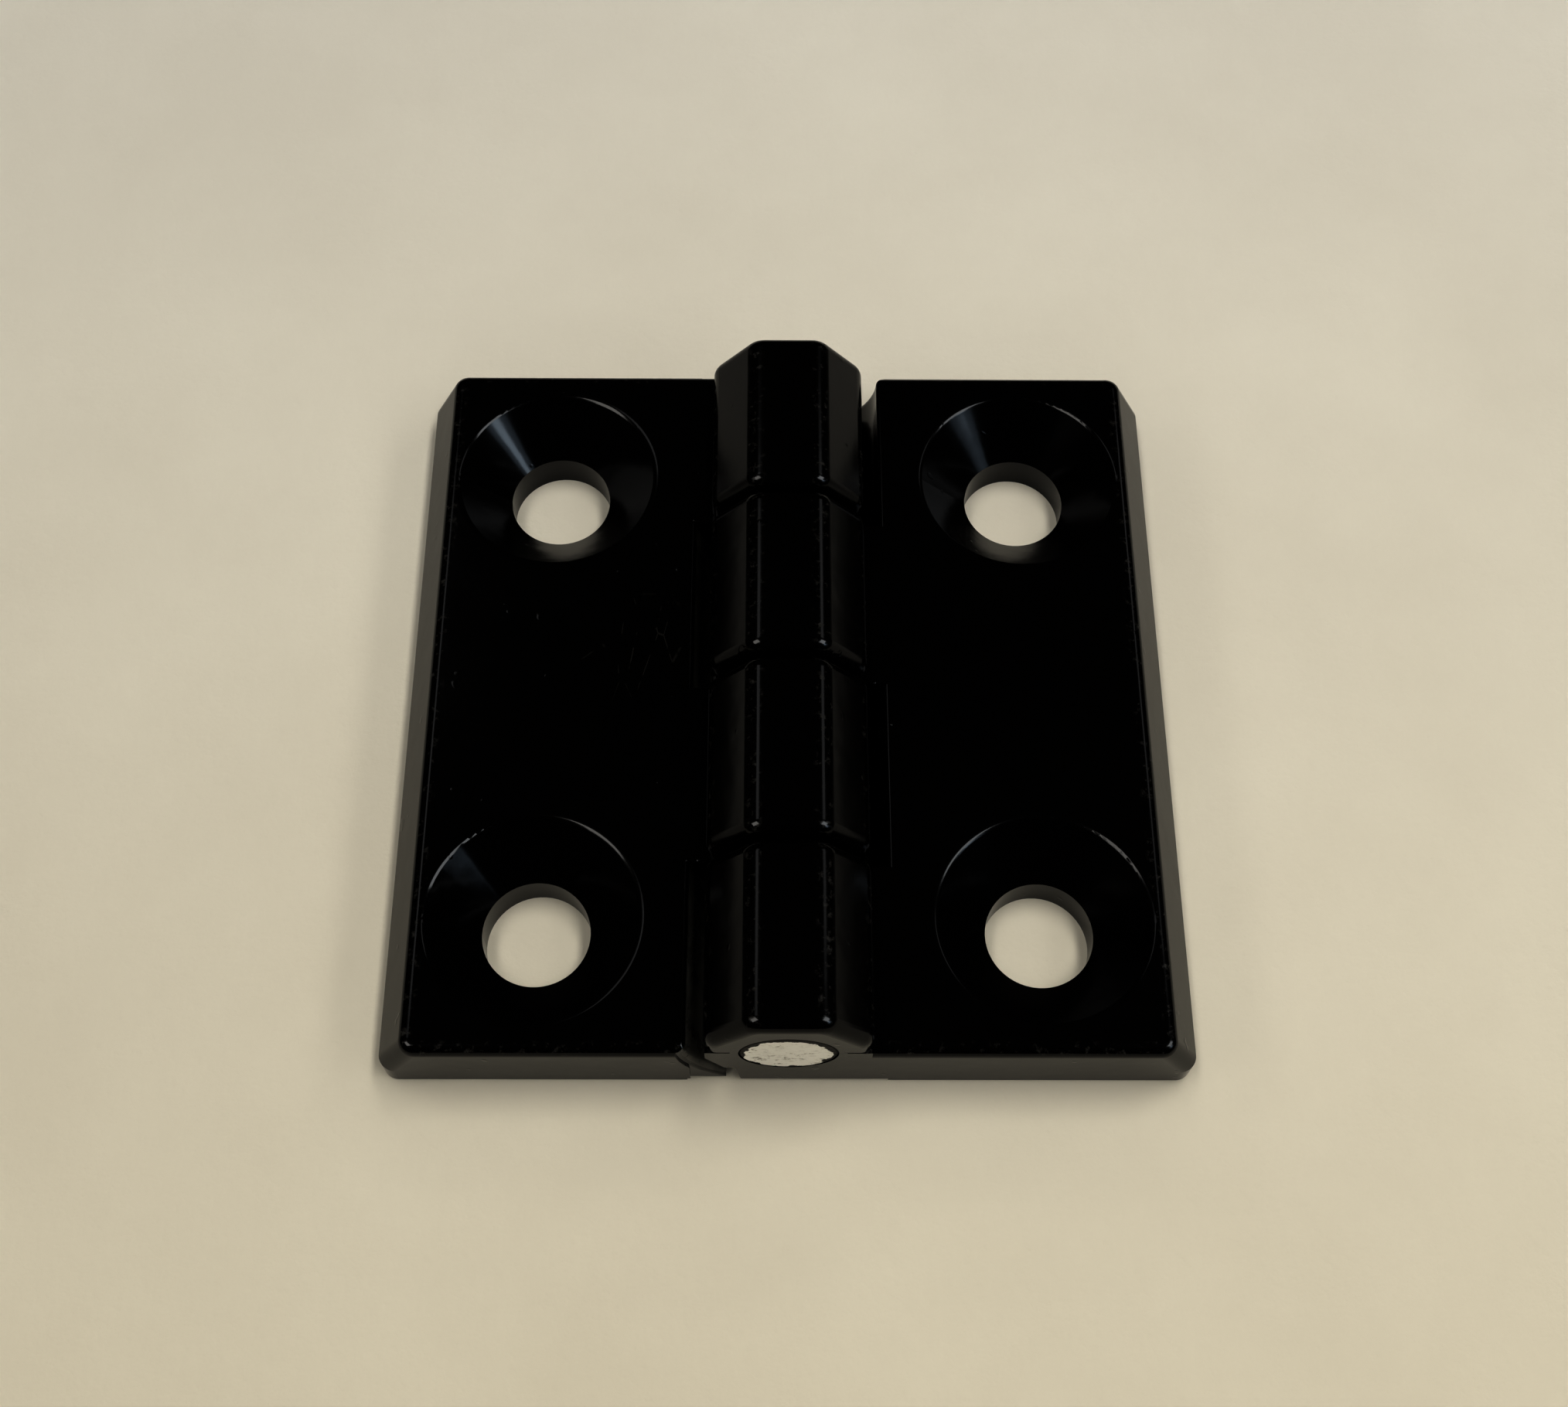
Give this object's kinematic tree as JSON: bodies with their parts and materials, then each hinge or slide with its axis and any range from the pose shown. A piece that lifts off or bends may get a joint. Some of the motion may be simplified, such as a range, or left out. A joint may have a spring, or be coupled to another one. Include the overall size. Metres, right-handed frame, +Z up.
{
  "type": "door hinge",
  "caption": "Block-type butt hinge: two cast leaves with countersunk screw holes, interleaved knuckles forming an octagonal barrel, and one fixed pin.",
  "frame": {"origin": "under the pin, in the plane of the mounting faces, halfway along the leaves", "axes": "+X from the left leaf to the right leaf, +Y along the pin from front to rear, +Z up out of the mounting faces"},
  "size_m": [0.05, 0.0486, 0.011],
  "materials": {
    "leaf_coating": "gloss black coating over cast metal",
    "pin_steel": "bare, rough sheared end"
  },
  "bodies": {
    "fixed_leaf": {"right_leaf": "leaf_coating", "hinge_pin": "pin_steel"},
    "swinging_leaf": {"left_leaf": "leaf_coating"}
  },
  "joints": [
    {"name": "leaf_swing", "type": "hinge", "parent": "fixed_leaf", "child": "swinging_leaf", "pos_m": [0, 0, 0.00605], "axis": [0, 1, 0], "range_deg": [-8, 180]}
  ]
}
